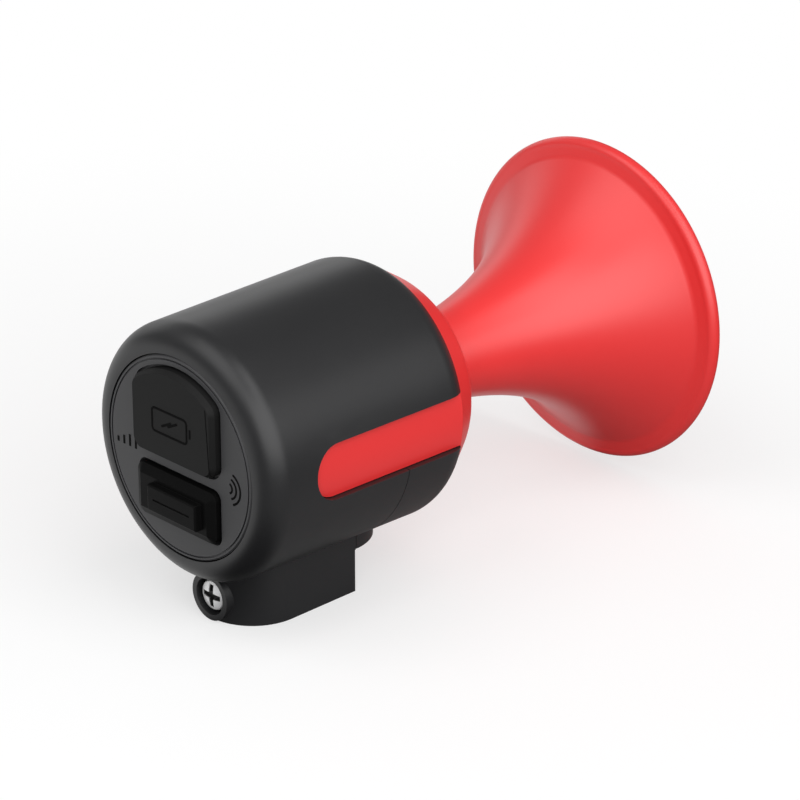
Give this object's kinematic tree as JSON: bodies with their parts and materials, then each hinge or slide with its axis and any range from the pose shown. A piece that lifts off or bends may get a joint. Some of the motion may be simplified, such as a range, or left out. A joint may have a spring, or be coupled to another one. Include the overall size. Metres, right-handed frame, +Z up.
{
  "type": "electronic bike horn",
  "caption": "Barrel-shaped electric bicycle horn with a flared bell in front, a push key and a rubber-covered charging port behind, and a clamp block below.",
  "frame": {"origin": "in the flat base face of the clamp block, under the centre of its round rear end, in the part's middle plane", "axes": "+X forward along the horn's axis to the bell, +Y to the far side as the picture shows it, +Z up"},
  "size_m": [0.104, 0.0604, 0.0622],
  "materials": {
    "black_plastic": "fine moulded texture",
    "red_plastic": "satin gloss",
    "grey_plastic": "matt",
    "cover_rubber": "matt",
    "seal_rubber": "matt",
    "key_plastic": "matt",
    "switch_plastic": "plain",
    "port_steel": "plated",
    "board_laminate": "lacquered",
    "screw_steel": "bright",
    "copper_winding": "lacquered",
    "chip_plastic": "plain",
    "can_aluminium": "satin",
    "cell_jacket": "wrapped in film",
    "foam": "open foam",
    "inner_plastic": "plain",
    "driver_steel": "plated",
    "magnet": "ground",
    "film": "clear film",
    "felt": "felt"
  },
  "bodies": {
    "housing": {"main_shell": "black_plastic", "front_lower_cover": "black_plastic", "inner_body": "red_plastic", "lower_cover_screws": "screw_steel", "horn_neck": "red_plastic", "horn_bell": "red_plastic", "end_cap": "grey_plastic", "cap_seal": "seal_rubber", "cover_tether": "cover_rubber", "switch_body": "switch_plastic", "usb_port_shell": "port_steel", "usb_port_tongue": "chip_plastic", "control_board": "board_laminate", "board_screws": "screw_steel", "boost_coil": "copper_winding", "driver_chip": "chip_plastic", "smoothing_capacitor": "can_aluminium", "battery_cell": "cell_jacket", "battery_pad": "foam", "battery_cradle": "inner_plastic", "driver_frame": "driver_steel", "driver_yoke": "driver_steel", "driver_magnet": "magnet", "pole_plate": "driver_steel", "voice_coil": "copper_winding", "diaphragm": "film", "driver_gasket": "felt", "clamp_screw": "screw_steel"},
    "button": {"horn_button": "key_plastic", "switch_plunger": "switch_plastic"},
    "cover": {"usb_cover": "cover_rubber"}
  },
  "joints": [
    {"name": "button_press", "type": "slide", "parent": "housing", "child": "button", "axis": [1, 0, 0], "range_m": [0, 0.0008], "stiffness_N_per_m": 2200, "springref_m": -0.0002},
    {"name": "cover_swing", "type": "hinge", "parent": "housing", "child": "cover", "pos_m": [-0.016, 0.01025, 0.0395], "axis": [0, 0, -1], "range_deg": [0, 100], "stiffness_Nm_per_rad": 0.003}
  ]
}
